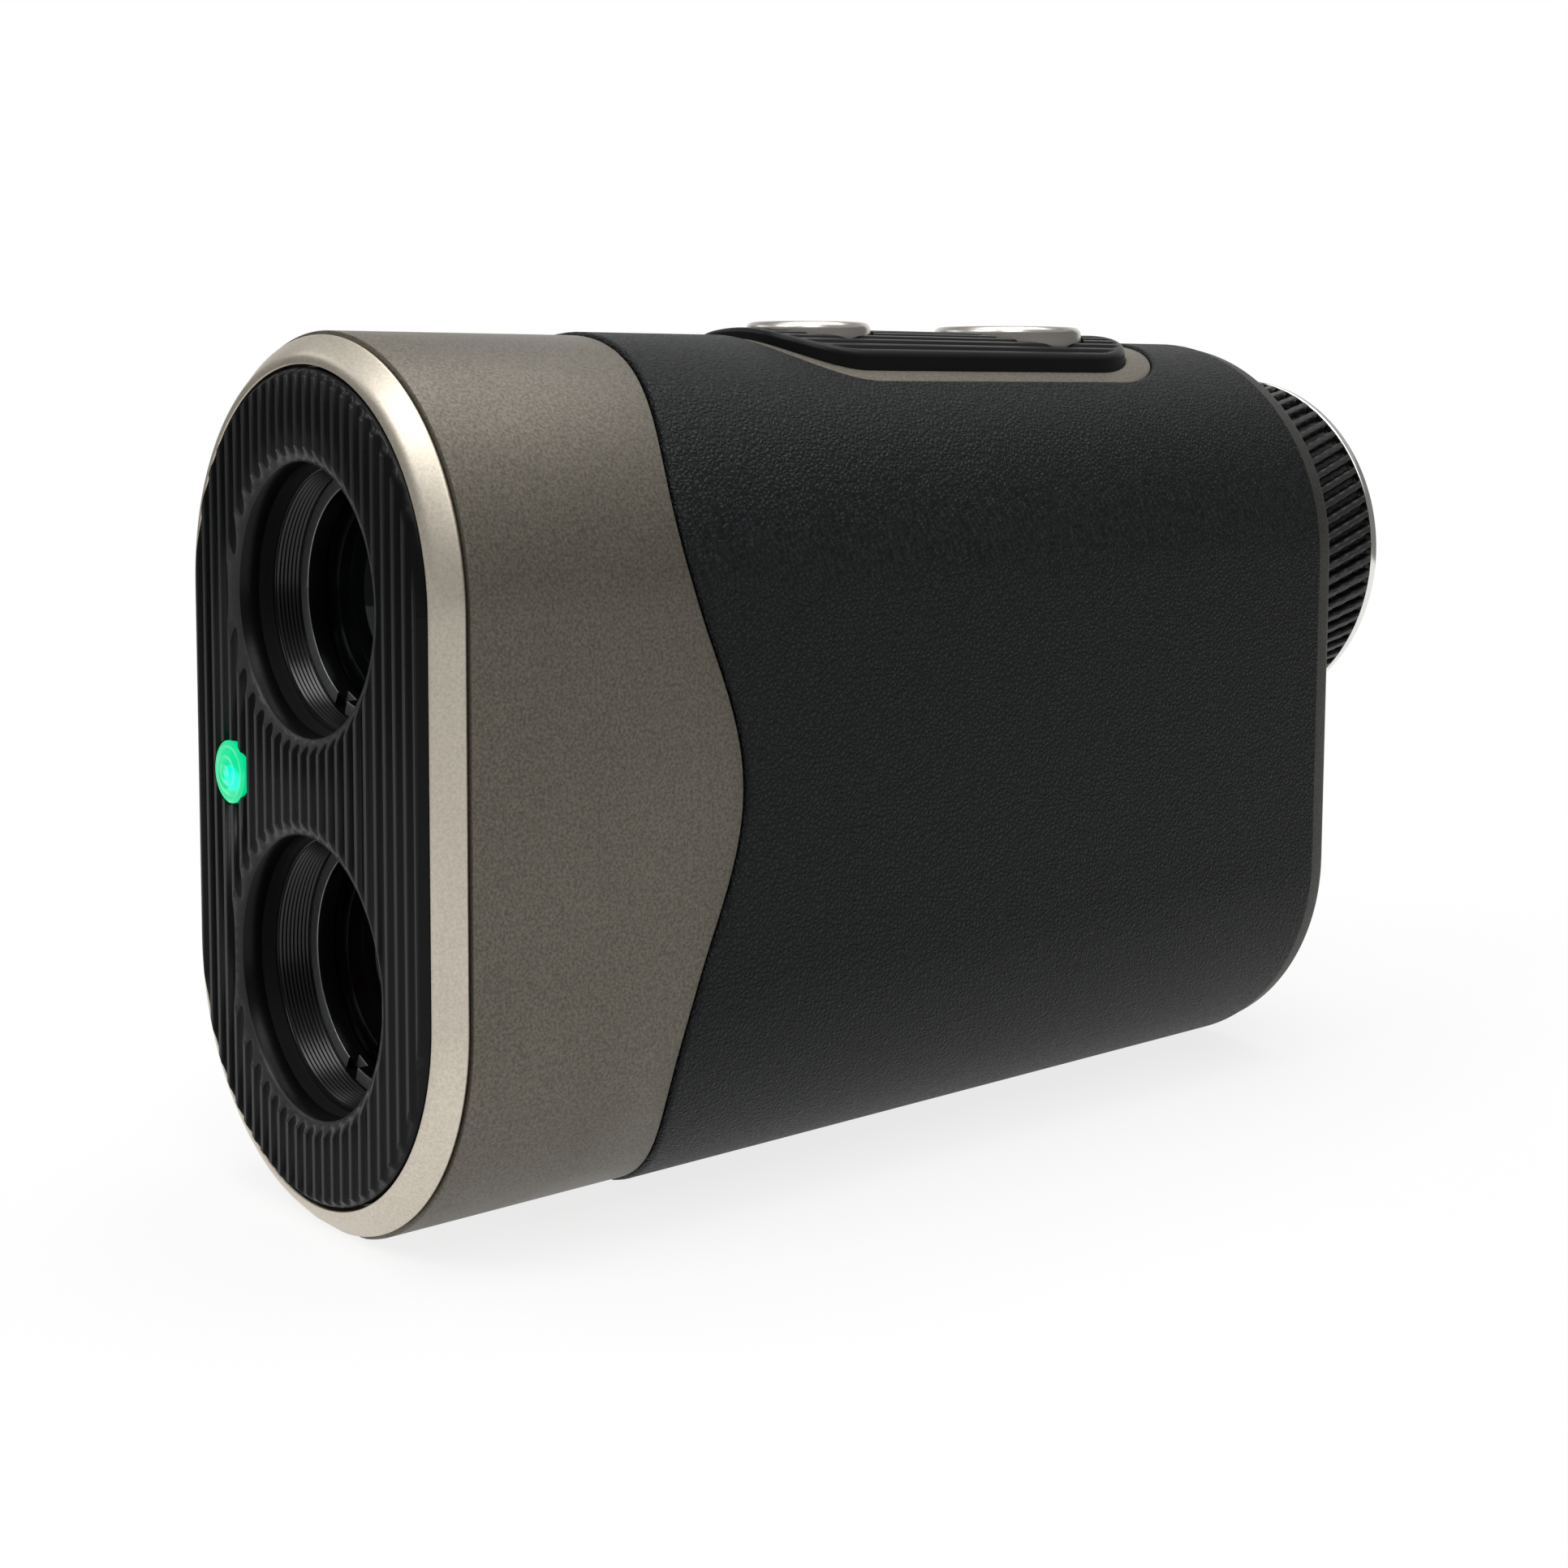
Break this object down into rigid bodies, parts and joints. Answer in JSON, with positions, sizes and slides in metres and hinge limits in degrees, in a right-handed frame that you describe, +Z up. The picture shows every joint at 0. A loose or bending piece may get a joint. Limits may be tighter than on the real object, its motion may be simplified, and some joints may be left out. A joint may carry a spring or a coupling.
{
  "type": "handheld laser speed and range monocular",
  "caption": "Hand-held laser speed and range monocular: oval body, ribbed face with lens openings and status light, push buttons on top, turning eyepiece and screw battery cap.",
  "frame": {"origin": "centre of the base flat, under the middle of the overall length", "axes": "+Z up, -Y the way the lenses look, +Y towards the eyepiece, +X to the right of someone facing the lenses"},
  "size_m": [0.0426, 0.1152, 0.0731],
  "materials": {
    "bezel_metal": "satin champagne, bead blasted",
    "gunmetal": "taupe gunmetal metallic, fine flake",
    "face_black": "satin black, ribbed",
    "wrap_black": "black soft touch with a fine leather grain",
    "pad_black": "satin black, ribbed",
    "ring_black": "satin black, ribbed",
    "button_metal": "satin silver",
    "end_ring_metal": "bright turned metal",
    "status_light": "clear green light window",
    "inner_black": "anti-glare black",
    "retainer_grey": "black anodised",
    "lens_glass": "coated glass",
    "filter_glass": "dark red coated glass",
    "case_plastic": "moulded dark grey",
    "seal_rubber": "soft black",
    "screw_steel": "zinc plated",
    "board_green": "solder mask",
    "chip_black": "moulded package",
    "emitter_chip": "clear resin",
    "brass_part": "turned brass",
    "cell_wrap": "shrink sleeve",
    "spring_steel": "nickel plated"
  },
  "bodies": {
    "housing": {"front_bezel": "bezel_metal", "faceplate": "face_black", "front_seal": "seal_rubber", "led_lens": "status_light", "led_chip": "emitter_chip", "led_board": "board_green", "nose_housing": "gunmetal", "left_shell": "case_plastic", "right_shell": "case_plastic", "shell_screws": "screw_steel", "grip_wrap": "wrap_black", "rear_trim": "gunmetal", "rear_plate": "face_black", "rear_screws": "screw_steel", "front_frame": "case_plastic", "objective_barrel": "inner_black", "objective_lens": "lens_glass", "objective_retainer": "retainer_grey", "receiver_barrel": "inner_black", "receiver_lens": "filter_glass", "receiver_retainer": "retainer_grey", "prism_carrier": "inner_black", "prism": "lens_glass", "laser_module": "brass_part", "sensor_module": "retainer_grey", "display_frame": "inner_black", "display_panel": "lens_glass", "main_board": "board_green", "processor_chip": "chip_black", "battery_tube": "case_plastic", "battery_spring": "spring_steel", "battery_cell": "cell_wrap", "eyepiece_barrel": "inner_black", "ring_clip": "spring_steel", "button_frame": "gunmetal", "button_pad": "pad_black", "button_board": "board_green", "dome_switches": "spring_steel", "tripod_insert": "brass_part"},
    "power_key": {"power_button": "button_metal"},
    "mode_key": {"mode_button": "button_metal"},
    "focus_ring": {"dioptre_ring": "ring_black", "eyepiece_trim_ring": "end_ring_metal", "eyecup": "seal_rubber"},
    "ocular": {"ocular_cell": "inner_black", "ocular_lens": "lens_glass", "ocular_retainer": "retainer_grey", "drive_pin": "screw_steel"},
    "cap_slider": {"cap_contact": "brass_part"},
    "cap": {"battery_cap": "face_black", "cap_seal": "seal_rubber"}
  },
  "joints": [
    {"name": "power_press", "type": "slide", "parent": "housing", "child": "power_key", "axis": [0, 0, -1], "range_m": [0, 0.0006], "stiffness_N_per_m": 3000},
    {"name": "mode_press", "type": "slide", "parent": "housing", "child": "mode_key", "axis": [0, 0, -1], "range_m": [0, 0.0006], "stiffness_N_per_m": 3000},
    {"name": "dioptre_turn", "type": "hinge", "parent": "housing", "child": "focus_ring", "pos_m": [0, 0.05135, 0.0505], "axis": [0, 1, 0], "range_deg": [-130, 130]},
    {"name": "ocular_travel", "type": "slide", "parent": "housing", "child": "ocular", "axis": [0, 1, 0], "range_m": [-0.0012, 0.0012]},
    {"name": "cap_travel", "type": "slide", "parent": "housing", "child": "cap_slider", "axis": [0, 1, 0], "range_m": [0, 0.003]},
    {"name": "cap_turn", "type": "hinge", "parent": "cap_slider", "child": "cap", "pos_m": [0, 0.04535, 0.0205], "axis": [0, 1, 0], "range_deg": [0, 1080]}
  ],
  "couplings": [
    {"joint": "ocular_travel", "follows": "dioptre_turn", "m_per_rad": 0.0005288},
    {"joint": "cap_turn", "follows": "cap_travel", "rad_per_m": 6283.2}
  ]
}
